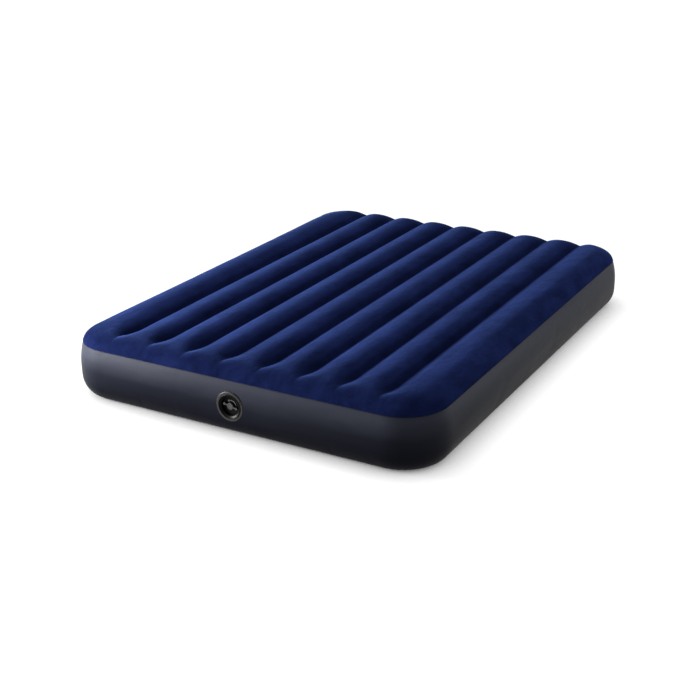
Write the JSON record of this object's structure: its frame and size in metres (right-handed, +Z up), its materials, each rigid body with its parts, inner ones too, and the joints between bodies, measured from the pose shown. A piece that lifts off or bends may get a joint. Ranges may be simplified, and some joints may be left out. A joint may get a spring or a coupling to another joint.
{
  "type": "flocked air mattress",
  "caption": "Inflated queen-size air mattress with a ribbed flocked top, a plain vinyl side band and a screw-in inflation and deflation valve in the foot end.",
  "frame": {"origin": "centre of the footprint, on the floor plane", "axes": "+Z up, +Y from the foot end with the valve to the head end, +X across to the right seen from the foot end"},
  "size_m": [1.52, 2.033, 0.25],
  "materials": {
    "flocked_top": "short navy flock on vinyl",
    "band_vinyl": "satin dark grey vinyl",
    "base_vinyl": "satin dark grey vinyl",
    "valve_grey": "moulded dark grey plastic",
    "valve_black": "moulded black plastic",
    "valve_grey_soft": "soft grey vinyl",
    "seal_rubber": "soft rubber",
    "weld_strip": "thin welded vinyl strip",
    "beam_yarn": "woven polyester yarn"
  },
  "bodies": {
    "mattress": {"top_sheet": "flocked_top", "side_band": "band_vinyl", "bottom_sheet": "base_vinyl", "valve_flange": "valve_grey", "beam_1_upper_strip": "weld_strip", "beam_1_yarn_web": "beam_yarn", "beam_1_lower_strip": "weld_strip", "beam_2_upper_strip": "weld_strip", "beam_2_yarn_web": "beam_yarn", "beam_2_lower_strip": "weld_strip", "beam_3_upper_strip": "weld_strip", "beam_3_yarn_web": "beam_yarn", "beam_3_lower_strip": "weld_strip", "beam_4_upper_strip": "weld_strip", "beam_4_yarn_web": "beam_yarn", "beam_4_lower_strip": "weld_strip", "beam_5_upper_strip": "weld_strip", "beam_5_yarn_web": "beam_yarn", "beam_5_lower_strip": "weld_strip", "beam_6_upper_strip": "weld_strip", "beam_6_yarn_web": "beam_yarn", "beam_6_lower_strip": "weld_strip", "beam_7_upper_strip": "weld_strip", "beam_7_yarn_web": "beam_yarn", "beam_7_lower_strip": "weld_strip", "beam_8_upper_strip": "weld_strip", "beam_8_yarn_web": "beam_yarn", "beam_8_lower_strip": "weld_strip"},
    "seal_ring": {"plug_seal_ring": "seal_rubber"},
    "deflate_plug": {"deflate_plug": "valve_black", "strap_anchor": "valve_grey_soft", "flap_pin": "valve_grey"},
    "inflation_plug": {"inflation_plug": "valve_grey_soft"},
    "check_flap": {"check_flap": "seal_rubber"}
  },
  "joints": [
    {"name": "plug_lift", "type": "slide", "parent": "mattress", "child": "seal_ring", "axis": [0, -1, 0], "range_m": [0, 0.012]},
    {"name": "plug_turn", "type": "hinge", "parent": "seal_ring", "child": "deflate_plug", "pos_m": [0, -1.015, 0.116], "axis": [0, -1, 0], "range_deg": [0, 720]},
    {"name": "inflation_plug_flip", "type": "hinge", "parent": "deflate_plug", "child": "inflation_plug", "pos_m": [-0.01653, -1.0103, 0.11997], "axis": [-0.2334, 0, -0.9724], "range_deg": [0, 140]},
    {"name": "check_flap_swing", "type": "hinge", "parent": "deflate_plug", "child": "check_flap", "pos_m": [0, -0.9922, 0.1308], "axis": [1, 0, 0], "range_deg": [0, 60]}
  ],
  "couplings": [
    {"joint": "plug_lift", "follows": "plug_turn", "m_per_rad": 0.00095493}
  ]
}
